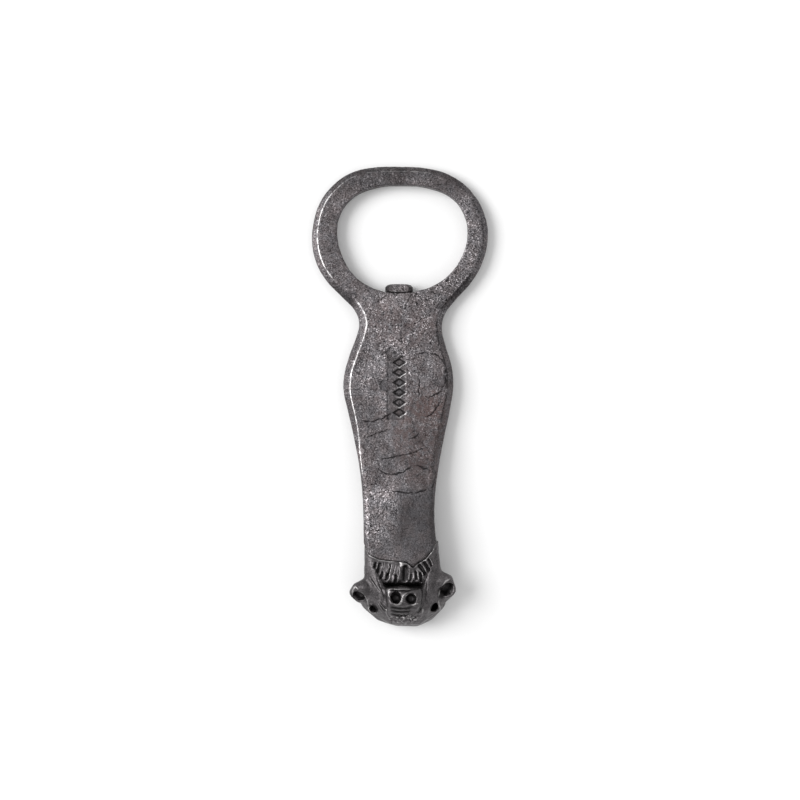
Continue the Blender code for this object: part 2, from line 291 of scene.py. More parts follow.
def fine_copy(name, node, voxel, relax_rounds):
    """A new piece with a fine, even copy of a CAD node's surface."""
    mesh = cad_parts[node].data.copy()
    mesh.materials.clear()
    source = bpy.data.objects.new(name, mesh)
    scene.collection.objects.link(source)
    remesh = source.modifiers.new("Remesh", "REMESH")
    remesh.mode = "VOXEL"
    remesh.voxel_size = voxel * MM
    fine = modified_mesh(source)
    bpy.data.objects.remove(source)
    piece = bpy.data.objects.new(name, fine)
    scene.collection.objects.link(piece)
    work = Work(piece)
    work.relax(relax_rounds)
    return piece, work


def finish_piece(piece, work, node, material, triangles):
    """Hands the worked mesh over as the piece that stands for its node, kept within the node's own box."""
    corners = np.array(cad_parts[node].bound_box) / MM
    work.points = np.clip(work.points, corners.min(0), corners.max(0))
    work.refresh()
    mesh = piece.data
    count = 2 * len(mesh.polygons)
    if count > triangles:
        thin = piece.modifiers.new("Decimate", "DECIMATE")
        thin.ratio = triangles / count
        piece.data = modified_mesh(piece)
        piece.modifiers.clear()
    piece.data.shade_smooth()
    piece.data.materials.clear()
    piece.data.materials.append(material)
    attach(piece, "root")
    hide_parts(node)


# ---------------------------------------------------------------- materials


class Nodes:
    """Short calls to build a material's nodes."""

    def __init__(self, name):
        self.material = bpy.data.materials.new(name)
        self.material.use_nodes = True
        self.tree = self.material.node_tree
        self.shader = self.tree.nodes["Principled BSDF"]
        place = self.tree.nodes.new("ShaderNodeTexCoord").outputs["Object"]
        scale = self.tree.nodes.new("ShaderNodeVectorMath")
        scale.operation = "SCALE"
        scale.inputs["Scale"].default_value = 1.0 / MM
        self.tree.links.new(place, scale.inputs[0])
        self.place = scale.outputs["Vector"]

    def feed(self, socket, value):
        if isinstance(value, bpy.types.NodeSocket):
            self.tree.links.new(value, socket)
        else:
            socket.default_value = value

    def noise(self, size, detail=3.0, roughness=0.55, distortion=0.0):
        """Noise from 0 to 1, with lumps about size millimetres across."""
        node = self.tree.nodes.new("ShaderNodeTexNoise")
        node.inputs["Scale"].default_value = 1.0 / size
        node.inputs["Detail"].default_value = detail
        node.inputs["Roughness"].default_value = roughness
        node.inputs["Distortion"].default_value = distortion
        self.tree.links.new(self.place, node.inputs["Vector"])
        return node.outputs["Fac"]

    def attribute(self, name):
        node = self.tree.nodes.new("ShaderNodeAttribute")
        node.attribute_name = name
        return node.outputs["Fac"]

    def remap(self, value, low, high, new_low=0.0, new_high=1.0):
        node = self.tree.nodes.new("ShaderNodeMapRange")
        node.interpolation_type = "SMOOTHSTEP"
        for socket, number in zip(node.inputs[1:5], (low, high, new_low, new_high)):
            socket.default_value = number
        self.tree.links.new(value, node.inputs["Value"])
        return node.outputs["Result"]

    def math(self, operation, a, b):
        node = self.tree.nodes.new("ShaderNodeMath")
        node.operation = operation
        self.feed(node.inputs[0], a)
        self.feed(node.inputs[1], b)
        return node.outputs["Value"]

    def mix(self, share, a, b):
        """A colour between a, where share is 0, and b, where it is 1."""
        node = self.tree.nodes.new("ShaderNodeMix")
        node.data_type = "RGBA"
        self.feed(node.inputs["Factor"], share)
        self.feed(node.inputs[6], a)
        self.feed(node.inputs[7], b)
        return node.outputs[2]

    def scale(self, color, amount):
        """The colour made lighter or darker by an amount."""
        node = self.tree.nodes.new("ShaderNodeVectorMath")
        node.operation = "SCALE"
        self.feed(node.inputs[0], color)
        self.feed(node.inputs["Scale"], amount)
        return node.outputs["Vector"]

    def tint(self, color, filter_color):
        """The colour seen through a coloured filter."""
        node = self.tree.nodes.new("ShaderNodeVectorMath")
        node.operation = "MULTIPLY"
        self.feed(node.inputs[0], color)
        self.feed(node.inputs[1], filter_color)
        return node.outputs["Vector"]

    def bump(self, height, distance, strength=1.0, normal=None):
        """Bump from a height of 0 to 1 that is distance millimetres tall."""
        node = self.tree.nodes.new("ShaderNodeBump")
        node.inputs["Distance"].default_value = distance * MM
        node.inputs["Strength"].default_value = strength
        self.tree.links.new(height, node.inputs["Height"])
        if normal:
            self.tree.links.new(normal, node.inputs["Normal"])
        return node.outputs["Normal"]


def grey(value, red=0.07, blue=0.03):
    """A grey, with a little more red and blue than green."""
    return (value * (1.0 + red), value, value * (1.0 + blue), 1.0)


def forged_steel():
    """Dark forge scale: pitted, speckled where it has flaked, browned in patches and bare on rubbed edges,
    with painted highlights on edges facing the key and painted shade on faces turned away.
    """
    n = Nodes("forged_scale")
    ridge_and_highlight = n.remap(n.attribute("ridge_and_highlight"), 0.25, 0.85)
    hollow_and_shade = n.remap(n.attribute("hollow_and_shade"), 0.1, 0.9)
    coarse = n.attribute("coarse")
    speckle = n.remap(n.noise(0.42, 3.0, 0.85), 0.41, 0.60)
    contrast = n.math("ADD", n.math("MULTIPLY", coarse, 0.75), 0.42)
    color = n.mix(speckle, grey(0.018), grey(0.195))
    color = n.mix(contrast, grey(0.093), color)
    cloud = n.remap(n.noise(2.4, 4.0, 0.6, 0.3), 0.35, 0.65)
    color = n.mix(n.math("MULTIPLY", cloud, 0.30), color, grey(0.16))
    warmth = n.remap(n.noise(3.4, 3.0, 0.6), 0.40, 0.60)
    color = n.tint(color, n.mix(warmth, (0.98, 1.0, 1.02, 1.0), (1.02, 0.985, 0.98, 1.0)))
    brown = n.math("MULTIPLY", n.attribute("brown"), n.remap(n.noise(1.6, 4.0, 0.65), 0.35, 0.6))
    color = n.mix(n.math("MULTIPLY", brown, 0.7), color, (0.108, 0.082, 0.080, 1.0))
    patchy = n.remap(n.noise(2.8, 3.0), 0.36, 0.62)
    flecks = n.remap(n.noise(0.44, 1.5, 0.6), 0.575, 0.63)
    flakes = n.math("MULTIPLY", flecks, n.math("MULTIPLY", patchy, coarse))
    color = n.mix(n.math("MULTIPLY", flakes, 0.9), color, grey(0.55))
    pits = n.math("MULTIPLY", n.remap(n.noise(0.60, 3.0, 0.65, 0.4), 0.36, 0.43, 1.0, 0.0), contrast)
    color = n.mix(n.math("MULTIPLY", pits, 0.88), color, grey(0.012))
    color = n.mix(n.math("MULTIPLY", hollow_and_shade, 0.85), color, grey(0.014))
    color = n.mix(n.math("MULTIPLY", ridge_and_highlight, 0.9), color, grey(0.66, 0.02, 0.0))
    color = n.scale(color, n.attribute("tone"))
    n.feed(n.shader.inputs["Base Color"], color)
    n.shader.inputs["Metallic"].default_value = 1.0
    gloss = n.remap(n.noise(1.6, 4.0, 0.6), 0.3, 0.7, 0.44, 0.60)
    gloss = n.math("SUBTRACT", gloss, n.math("MULTIPLY", ridge_and_highlight, 0.14))
    n.feed(n.shader.inputs["Roughness"], gloss)
    islands = n.bump(n.remap(n.noise(3.2, 5.0, 0.6, 0.5), 0.49, 0.52), 0.07, 0.8)
    coarse_bump = n.bump(n.noise(1.1, 4.0, 0.65), 0.22, 0.7, islands)
    fine_bump = n.bump(n.noise(0.40, 3.0, 0.7), 0.10, 0.9, coarse_bump)
    n.feed(n.shader.inputs["Normal"], fine_bump)
    return n.material


def carved_steel():
    """Darkened steel, burnished on its ridges, with fine file and chisel texture, and with painted highlights
    and painted shade mixed into its light and dark.
    """
    n = Nodes("carved_steel")
    ridge_and_highlight = n.remap(n.attribute("ridge_and_highlight"), 0.15, 0.9)
    hollow_and_shade = n.remap(n.attribute("hollow_and_shade"), 0.05, 0.8)
    cloud = n.remap(n.noise(1.3, 4.0, 0.65), 0.3, 0.7)
    color = n.mix(cloud, grey(0.048), grey(0.098))
    color = n.mix(n.math("MULTIPLY", n.remap(n.noise(0.4, 2.0, 0.7), 0.48, 0.65), 0.5), color, grey(0.18))
    color = n.mix(n.math("MULTIPLY", hollow_and_shade, 0.92), color, grey(0.017))
    color = n.mix(n.math("MULTIPLY", ridge_and_highlight, 0.8), color, grey(0.34, 0.03, 0.0))
    color = n.scale(color, n.attribute("tone"))
    n.feed(n.shader.inputs["Base Color"], color)
    n.shader.inputs["Metallic"].default_value = 1.0
    gloss = n.remap(n.noise(0.9, 4.0, 0.6), 0.3, 0.7, 0.36, 0.52)
    gloss = n.math("SUBTRACT", gloss, n.math("MULTIPLY", ridge_and_highlight, 0.06))
    n.feed(n.shader.inputs["Roughness"], gloss)
    n.feed(n.shader.inputs["Normal"], n.bump(n.noise(0.45, 3.0, 0.65), 0.08, 0.8))
    return n.material


def pin_steel():
    """A filed pin end."""
    n = Nodes("pin_steel")
    n.feed(n.shader.inputs["Base Color"], n.mix(n.noise(0.5), grey(0.09), grey(0.2)))
    n.shader.inputs["Metallic"].default_value = 1.0
    n.feed(n.shader.inputs["Roughness"], n.remap(n.noise(0.3), 0.3, 0.7, 0.35, 0.55))
    n.feed(n.shader.inputs["Normal"], n.bump(n.noise(0.4), 0.03, 0.6))
    return n.material


def floor_paper():
    """White paper with the faintest mottle."""
    n = Nodes("floor_paper")
    n.feed(n.shader.inputs["Base Color"], n.mix(n.noise(40.0), grey(0.80, 0.0, 0.0), grey(0.82, 0.0, 0.0)))
    n.shader.inputs["Roughness"].default_value = 0.9
    n.shader.inputs["Specular IOR Level"].default_value = 0.1
    return n.material


# ---------------------------------------------------------------- the bar

# Lap seams left by the hammer, each with its raised side on the left of its path: (path, height, spread)
LAPS = [
    (
        [
            (-7.1, -21.6), (-5.6, -22.8), (-4.2, -23.5), (-2.0, -23.8), (0.6, -23.2), (2.4, -21.8),
            (4.0, -20.9),
        ],
        0.22,
        1.8,
    ),
    ([(3.6, -21.0), (5.4, -21.0), (6.6, -21.6), (8.2, -21.9), (10.1, -22.6)], 0.16, 1.2),
    ([(-3.8, -28.0), (-1.2, -28.9), (0.5, -29.1), (3.6, -29.4), (6.6, -28.8), (9.3, -27.8)], 0.16, 2.2),
    ([(8.9, -28.0), (10.2, -26.8), (10.6, -24.6), (10.3, -22.4)], 0.16, 1.2),
    ([(-12.1, -7.3), (-9.2, -7.8), (-6.6, -7.2), (-4.6, -6.0), (-2.0, -4.7)], 0.14, 1.6),
    ([(-10.1, -12.1), (-8.3, -11.9), (-6.6, -11.1), (-5.0, -10.6), (-3.2, -9.4)], 0.13, 1.2),
    (
        [(-7.4, -18.9), (-4.6, -18.9), (-3.0, -18.4), (0.0, -18.1), (2.5, -17.3), (5.1, -16.8), (8.9, -15.2)],
        0.12,
        1.6,
    ),
    ([(2.2, -13.2), (3.8, -12.6), (5.9, -11.2)], 0.10, 0.9),
    ([(4.2, 12.3), (5.4, 13.4), (7.6, 13.0), (10.7, 13.2), (12.6, 11.8), (13.8, 8.7)], 0.10, 1.4),
    ([(7.2, -1.2), (8.8, 0.1), (11.2, 0.4), (13.0, 2.0), (14.0, 5.6), (13.7, 9.2)], 0.13, 1.6),
    ([(6.4, -0.6), (5.2, 1.2), (5.9, 3.4), (5.4, 6.4)], 0.08, 0.9),
    ([(-8.1, 28.3), (-6.0, 29.4), (-4.7, 30.4), (-3.4, 31.4)], 0.12, 1.0),
    ([(0.2, 14.6), (0.5, 17.0), (0.2, 20.0), (0.5, 22.8)], 0.06, 0.8),
    ([(7.6, -6.6), (9.6, -5.6), (11.4, -3.4), (12.0, -0.8)], 0.10, 1.0),
]
# The row of lozenge punches: its middle, and each one's step, half sizes and depth
MARK_CENTRE = (-0.25, 2.6)
MARK_COUNT = 6
MARK_STEP = 3.05
MARK_HALF = (2.25, 1.5)
MARK_DEPTH = 0.36
# How wide the bevel is along the bar, in millimetres: (y, on the left, on the right)
BEVELS = [
    (-44.0, 0.3, 0.7), (-30.0, 0.3, 0.8), (-24.0, 0.4, 1.3), (-20.0, 0.6, 1.7), (-16.0, 0.9, 2.3),
    (-12.0, 1.35, 2.3), (-9.0, 1.55, 2.1), (-1.0, 1.8, 1.9), (8.0, 2.0, 1.8), (22.0, 2.2, 1.6),
    (32.0, 1.9, 1.6), (48.0, 1.6, 1.5), (66.0, 1.4, 1.4),
]
# How far the bevel falls for each millimetre of its width
BEVEL_SLOPE = 0.5


def opener_bar():
    piece, work = fine_copy("forged_bar", "opener_body", BAR_VOXEL, 3)
    fill_edges(work)
    inset = wide_bevels(work)
    y = work.points[:, 1]
    up = work.facing_up()
    any_face = 0.35 + 0.65 * up
    # Rubbed edges with painted highlights on the sides facing the key, and painted shade on the right bevel
    # and the shoulders
    wear_and_sheen = edge_wear_and_painted_light(work, inset)

    # the smith's hammer leaves long soft facets, and the fire leaves scale pits
    coarse = coarseness(work)
    work.push(0.15 * grain(work.points, 9.0, 11) * any_face + 0.06 * cloudy(work.points, 3.4, 17) * any_face)
    pits = np.maximum(0.0, cloudy(work.points, 1.3, 23) - 0.40)
    work.push(-0.34 * pits * coarse * any_face)
    work.push(0.05 * cloudy(work.points, 0.8, 31, 2) * coarse * any_face)
    islands = ease(cloudy(work.points, 6.0, 37, 4), -0.02, 0.05)
    shore = 4.0 * islands * (1.0 - islands) * up * ease(y, -30.0, -24.0)
    work.push(0.07 * islands * up * ease(y, -30.0, -24.0))
    work.dark += 0.35 * shore
    work.refresh()

    wander = 0.3 * np.stack([grain(work.points, 0.9, 71), grain(work.points, 0.9, 72)], axis=1)
    work.points[:, :2] += wander
    for path, height, spread in LAPS:
        lap(work, path, height, spread)
    work.points[:, :2] -= wander
    sunk = maker_marks(work)
    work.refresh()

    bulge = work.bulge(5)
    # Painted shade: the right bevel faces away from the key, so it is painted darker and less flaked
    shaded_right_bevel = ease(-inset, 0.0, 0.3) * ease(work.points[:, 0], 0.0, 6.0) * up
    # The light and dark stored here hold painted highlights and painted shade as well as burnish, scale and
    # pits
    work.store("ridge_and_highlight", 0.35 * ease(bulge, 0.02, 0.07) * up + wear_and_sheen + work.bright)
    work.store("hollow_and_shade", 0.8 * ease(-bulge, 0.014, 0.06) + work.dark)
    work.store("coarse", coarse * (1.0 - 0.7 * sunk) * (1.0 - 0.4 * shaded_right_bevel))
    tone = handle_tone(work) * (0.90 + 0.20 * islands) * (1.0 - 0.28 * sunk) * (1.0 - 0.12 * shaded_right_bevel)
    # Painted light: the ring's left bevel faces the key and is painted lighter
    tone += 0.18 * ease(-inset, 0.1, 0.4) * spot(work.points, -25.0, 50.0, 5.0, 16.0) * up
    work.store("tone", tone)
    work.store("brown", browning(work) * (1.0 - 0.6 * sunk))
    finish_piece(piece, work, "opener_body", forged_steel(), LARGE_PIECE)


def fill_edges(work):
    """Towards the head the bar's edges are hammered nearly square, so its bevels are filled out there."""
    x, y, z = work.points.T
    tops = thickness_along(work)
    drop = np.clip((tops - z) / (0.32 * tops), 0.0, 2.0)
    filled = np.where(drop < 1.0, 0.42 * drop**2.2, 0.42 + 1.58 * (drop - 1.0))
    share = np.where(x < 0, ease(y, -3.0, -21.0), ease(y, -24.0, -30.0)) + 0.35 * ease(y, 27.0, 35.0)
    work.points[:, 2] += share * (drop - filled) * 0.32 * tops
    work.refresh()
    work.relax(3)


def wide_bevels(work):
    """Files the bevels to their width, and returns how far each point lies inside its bevel's inner edge."""
    x, y, z = work.points.T
    # the walls of the ring's opening and of the stud's socket aren't part of the outline
    in_hole = np.hypot((x - 0.5) / 22.0, (y - 48.0) / 18.5) < 1.0
    in_hole |= (np.abs(x) < 7.0) & (y > 15.0) & (y < 40.0)
    wall = np.flatnonzero((np.abs(work.normals[:, 2]) < 0.35) & ~in_hole)
    outline = KDTree(len(wall))
    for i, (wall_x, wall_y) in enumerate(work.points[wall, :2]):
        outline.insert((wall_x, wall_y, 0.0), i)
    outline.balance()
    inward = np.array([outline.find((a, b, 0.0))[2] for a, b in work.points[:, :2]])
    inward = work.blur(inward, 2)
    stations, left, right = np.array(BEVELS).T
    wander = 0.12 * grain(work.points, 4.0, 61) + 0.05 * grain(work.points, 1.2, 62)
    width = np.where(x < 0.4, np.interp(y, stations, left), np.interp(y, stations, right)) + wander
    inset = inward - width
    top = thickness_along(work)
    filed = top + np.minimum(inset, 0.0) * BEVEL_SLOPE
    upper = z > 0.5 * top
    work.points[upper, 2] = np.minimum(z, filed)[upper]
    work.refresh()
    return inset


def thickness_along(work):
    """The height of the bar's top face at each point's place along the bar."""
    y, z = work.points[:, 1], work.points[:, 2]
    bins = np.round(y).astype(int)
    order = bins - bins.min()
    top = np.zeros(order.max() + 1)
    np.maximum.at(top, order, z)
    return np.interp(y, np.arange(len(top)) + bins.min(), top)


def edge_wear_and_painted_light(work, inset):
    """The light line along the left bevel's inner edge and the ring's top: partly rubbed bare by handling,
    partly a painted highlight where those edges face the key.

    It also darkens the right bevel's inner edge, and the bevels at the ring's two shoulders, with painted
    shade where they face away from the key.
    """
    x, y, z = work.points.T
    upper = work.facing_up(0.3, 0.6) * ease(z, 2.0, 3.0)
    sideways = work.blur(work.normals, 4)
    on_right = ease(x, 0.0, 6.0) * ease(y, -40.0, -30.0)
    # Painted shade: a dark line inside the right bevel, which faces away from the key
    fine_dark = np.exp(-(((inset - 0.05) / 0.26) ** 2)) * upper * on_right
    fine_dark *= 0.25 + 0.30 * ease(y, -16.0, -6.0) + 0.25 * ease(-y, -30.0, -20.0)
    work.dark += fine_dark * ease(grain(work.points, 1.5, 85), -0.9, 0.1)
    # Painted shade on the bevels at the ring's shoulders, which face down the bar, away from the key
    shoulders = spot(work.points, -17.8, 30.5, 5.0, 6.5) + spot(work.points, 19.0, 32.0, 5.0, 6.5)
    work.dark += 0.55 * ease(-inset, -0.3, 0.2) * shoulders * upper
    half = 0.16 + 0.06 * spot(work.points, -12.0, 18.0, 6.0, 10.0)
    half += 0.05 * spot(work.points, -24.0, 50.0, 8.0, 18.0)
    edge = np.exp(-(((inset - 0.1) / half) ** 2)) * upper
    left = ease(-x, -2.0, 4.0)
    # Painted highlight along the ring's top edge, where it faces the key
    ring_top = ease(y, 60.0, 64.0) * ease(sideways[:, 1], 0.02, 0.1) * ease(x, -19.0, -12.0)
    faded = 1.0 - 0.9 * spot(work.points, -18.0, 31.0, 4.5, 4.5) - 0.75 * ease(y, -22.0, -27.0)
    broken = ease(grain(work.points, 0.8, 83), -0.8, 0.2)
    share = np.clip(left * (1 - ring_top) * faded + 0.72 * ring_top * ease(-x, -16.0, -6.0), 0.0, 1.0)
    return 0.88 * edge * share * (0.5 + 0.5 * broken)


def coarseness(work):
    """How pitted and flaked the surface is, 0 to 1: least on the ring's left and the smooth stretch."""
    p = work.points
    amount = 0.46 + 0.12 * grain(p, 7.0, 5)
    amount += 0.55 * spot(p, 18.5, 46.0, 6.0, 14.0) + 0.45 * spot(p, 12.0, 33.0, 8.0, 6.0)
    amount += 0.40 * spot(p, 0.0, 21.0, 13.0, 11.0) + 0.20 * spot(p, -5.0, 8.0, 9.0, 9.0)
    # On the smooth stretch the flakes are many on its left and few on its right, partly as painted glitter on
    # its lit side
    amount += 0.60 * spot(p, -6.5, -34.0, 6.0, 9.0)
    amount -= 0.45 * spot(p, 5.5, -39.0, 8.0, 10.0) + 0.12 * spot(p, 4.0, -14.0, 9.0, 12.0)
    return np.clip(amount, 0.0, 1.2)


def handle_tone(work):
    """How light the steel is overall: darkest at the ring's top and on the right of the smooth stretch, whose
    light left and dark right are painted light and painted shade.
    """
    p = work.points
    tone = 1.05 + 0.09 * grain(p, 6.0, 43) + 0.08 * grain(p, 3.0, 44)
    tone += 0.16 * spot(p, 22.0, 48.0, 8.0, 16.0) + 0.10 * spot(p, 0.0, 0.0, 14.0, 12.0)
    tone -= 0.26 * spot(p, 0.0, 67.0, 24.0, 5.0) + 0.06 * spot(p, -22.0, 50.0, 6.0, 16.0)
    tone += 0.16 * spot(p, -2.0, 22.0, 12.0, 10.0) + 0.10 * spot(p, -5.0, 6.0, 7.0, 9.0)
    tone -= 0.08 * spot(p, 8.0, -8.0, 9.0, 16.0) + 0.07 * spot(p, 0.0, -18.0, 12.0, 9.0)
    # Painted light and shade across the rounded smooth stretch: lighter on its left, toward the key, darker
    # on its right
    tone += 0.36 * spot(p, -6.0, -35.0, 5.5, 9.0)
    tone -= 0.44 * spot(p, 6.0, -38.0, 8.5, 11.0) + 0.10 * spot(p, -9.0, 0.0, 3.0, 5.0)
    return tone


def browning(work):
    """Where heat has browned the scale."""
    p = work.points
    brown = 0.18 + 0.2 * grain(p, 5.0, 47)
    brown += 0.9 * spot(p, 7.0, -12.0, 9.0, 14.0) + 0.8 * spot(p, 9.5, -3.0, 4.0, 4.5)
    brown += 0.5 * spot(p, -4.0, 22.0, 6.0, 7.0) + 0.5 * spot(p, 7.0, 22.0, 5.0, 8.0)
    brown -= 0.3 * spot(p, 0.0, -38.0, 14.0, 9.0)
    return brown


def maker_marks(work):
    """A row of plain lozenge punches up the handle, beside a smooth sunk patch."""
    x, y = work.points[:, 0] - MARK_CENTRE[0], work.points[:, 1] - MARK_CENTRE[1]
    up = work.facing_up()
    ragged = 0.35 * cloudy(work.points, 2.6, 73)
    half_row = MARK_COUNT * MARK_STEP / 2
    field = 1 - ease(np.abs(x + 1.0) + ragged, 2.5, 2.9)
    field *= 1 - ease(np.abs(y) + ragged, half_row + 0.2, half_row + 0.9)
    notch = 1 - ease(np.abs(x + 2.5) / 2.0 + np.abs(y - 10.6) / 1.8 + ragged, 0.8, 1.1)
    bay = 1 - ease(np.hypot(x + 4.4, (y - 0.6) * 0.8) + ragged, 1.3, 1.7)
    sunk = np.clip(field + notch + bay, 0.0, 1.0) * up
    work.points[:, 2] -= 0.16 * sunk
    work.dark += 0.45 * 4.0 * sunk * (1.0 - sunk)
    for i in range(MARK_COUNT):
        middle = (i - (MARK_COUNT - 1) / 2) * MARK_STEP
        reach = np.abs(x) / MARK_HALF[0] + np.abs(y - middle) / MARK_HALF[1]
        cut = (1 - ease(reach, 0.70, 1.02)) * up
        rim = np.exp(-(((reach - 1.12) / 0.12) ** 2)) * up
        work.points[:, 2] -= MARK_DEPTH * (cut - 0.22 * rim)
        wall = cut * (1 - cut) * 4
        # Painted shade on each punch's upper left wall, away from the key, and a painted highlight on its
        # lower right rim
        work.dark += 0.7 * wall * ease(y - middle - 0.6 * x, -0.6, 0.8) + 0.2 * cut
        work.bright += 0.35 * rim * ease(0.6 * x - y + middle, 0.2, 1.6)
    return sunk


# ---------------------------------------------------------------- the stud


def stud():
    piece, work = fine_copy("turned_stud", "cap_stud", STUD_VOXEL, 2)
    work.push(0.03 * cloudy(work.points, 1.1, 41))
    work.refresh()
    bulge = work.bulge(6)
    # Rubbed lighter in the middle, partly a painted sheen where the middle catches the light
    wear_and_sheen = spot(work.points, 0.3, 32.8, 2.4, 2.0)
    work.store("ridge_and_highlight", 0.8 * ease(bulge, 0.008, 0.05))
    work.store("hollow_and_shade", 0.5 * ease(-bulge, 0.008, 0.05) + 0.25 * (1 - wear_and_sheen))
    work.store("coarse", 0.15 + 0.8 * wear_and_sheen)
    work.store("tone", 0.75 + 0.35 * wear_and_sheen)
    work.store("brown", np.full(len(work.points), 0.25))
    finish_piece(piece, work, "cap_stud", bpy.data.materials["forged_scale"], SMALL_PIECE)


# ---------------------------------------------------------------- the bear's head

# Where the head meets the bar
SEAM = [
    (-13.0, -44.6), (-10.8, -44.8), (-9.4, -47.6), (-6.4, -49.1), (-2.8, -49.5), (2.0, -50.2), (3.9, -51.8),
    (5.2, -50.5), (7.8, -48.9), (9.9, -46.4), (10.8, -44.2), (13.0, -44.0),
]
# How high the beard lies under the rim, and how it falls into the mouth: (y, height)
BEARD_FALL = [(-57.7, 8.8), (-57.0, 10.2), (-56.2, 11.4), (-55.0, 11.7), (-52.6, 11.5), (-49.0, 11.0)]
# Chisel cuts between the locks of the beard: (top, bottom, width, depth)
BEARD_CUTS = [
    ((-7.2, -49.8), (-7.9, -52.0), 0.60, 0.50),
    ((-6.0, -50.0), (-7.0, -53.4), 0.75, 0.60),
    ((-4.7, -50.0), (-5.5, -52.3), 0.22, 0.18),
    ((-5.2, -52.6), (-6.0, -55.2), 0.50, 0.50),
    ((-2.7, -50.4), (-3.9, -54.4), 0.34, 0.45),
    ((-3.7, -53.0), (-4.3, -55.8), 0.60, 0.60),
    ((-1.4, -50.6), (-2.3, -53.8), 0.20, 0.16),
    ((-1.2, -53.4), (-1.5, -56.8), 0.65, 0.60),
    ((-0.2, -51.6), (-0.7, -54.4), 0.22, 0.18),
    # The widest cut, down the middle, stands in for the shadow that the rim casts into the beard; its dark is
    # painted shadow
    ((1.5, -50.8), (1.3, -56.2), 1.30, 0.90),
    ((3.3, -53.4), (3.1, -56.2), 0.60, 0.40),
    ((4.6, -52.4), (4.9, -55.8), 0.46, 0.60),
    ((6.0, -52.9), (6.3, -56.4), 0.55, 0.60),
    ((5.3, -50.4), (8.0, -54.4), 0.66, 0.60),
    ((6.9, -49.5), (8.9, -52.9), 0.60, 0.60),
    ((8.2, -48.8), (9.7, -51.5), 0.50, 0.50),
]
# Burnished crests of the locks
BEARD_CRESTS = [
    [(5.0, -51.0), (6.1, -52.3), (6.8, -54.2), (7.1, -56.1)],
    [(5.4, -52.3), (5.5, -54.0), (5.6, -55.8)],
    [(3.9, -53.0), (4.1, -54.2), (3.9, -55.8)],
    [(6.3, -50.4), (7.3, -52.0), (8.4, -53.8)],
    [(7.8, -49.8), (8.6, -51.0), (9.3, -52.4)],
    [(-6.6, -50.6), (-7.2, -52.2), (-7.7, -53.2)],
    [(-5.0, -51.6), (-5.9, -53.4), (-6.4, -54.6)],
    [(-3.6, -51.8), (-4.4, -53.4), (-5.0, -55.4)],
    [(-2.3, -52.4), (-3.0, -54.0), (-3.3, -56.0)],
    [(-0.5, -53.4), (-0.7, -54.6), (-0.6, -56.2)],
]
# Hair lines down the cheeks, raised and sunk
CHEEK_CRESTS = [
    [(-9.8, -54.0), (-8.5, -55.9), (-6.4, -58.3), (-5.3, -60.4), (-4.2, -62.6)],
    [(-9.4, -53.6), (-7.0, -56.6), (-5.5, -58.7), (-4.9, -60.7), (-3.9, -62.0)],
    [(-6.7, -61.5), (-4.9, -63.5), (-3.5, -64.9)],
    [(-6.7, -62.5), (-5.3, -64.3), (-4.1, -65.4)],
    [(-7.2, -62.9), (-6.0, -64.5), (-4.7, -65.8)],
    [(7.6, -55.0), (7.2, -59.6), (6.5, -61.9)],
    [(9.7, -53.5), (8.9, -58.0), (8.5, -61.0)],
]
CHEEK_CUTS = [
    [(-7.2, -54.0), (-6.1, -56.8), (-4.9, -59.6), (-4.4, -61.6)],
    [(-9.0, -54.6), (-7.6, -56.6), (-6.0, -59.0)],
    [(-6.2, -61.6), (-4.8, -63.2), (-3.6, -64.2)],
    [(-6.5, -62.0), (-5.2, -63.8), (-4.0, -65.0)],
    [(8.3, -54.6), (7.9, -59.0), (7.4, -62.6)],
]
LIP = [(-3.7, -57.1), (-1.9, -57.5), (0.2, -57.7), (2.0, -57.6), (4.0, -57.3), (6.4, -56.8)]
LEFT_NOSTRIL_RIM = [
    (-3.6, -58.0), (-3.3, -59.5), (-3.05, -61.2), (-1.9, -62.3), (-0.6, -62.5), (0.45, -62.0), (1.0, -61.2),
    (0.4, -60.4), (0.7, -59.5), (1.5, -58.7), (2.4, -58.2),
]
RIGHT_NOSTRIL_RIMS = [
    [(1.2, -60.0), (1.7, -59.4), (2.6, -58.95), (4.3, -59.05), (5.4, -59.9)],
    [(3.4, -62.6), (4.3, -62.0), (5.6, -61.95)],
]
WRINKLE_COUNT = 3
# How far the eyes and ear hollows are filled: (x, y, radius, height)
PIT_FLOORS = [
    (-8.05, -64.0, 1.6, 3.0), (10.2, -63.8, 1.8, 1.2), (-12.4, -60.2, 2.4, 1.0), (14.0, -58.6, 2.6, 0.9),
]


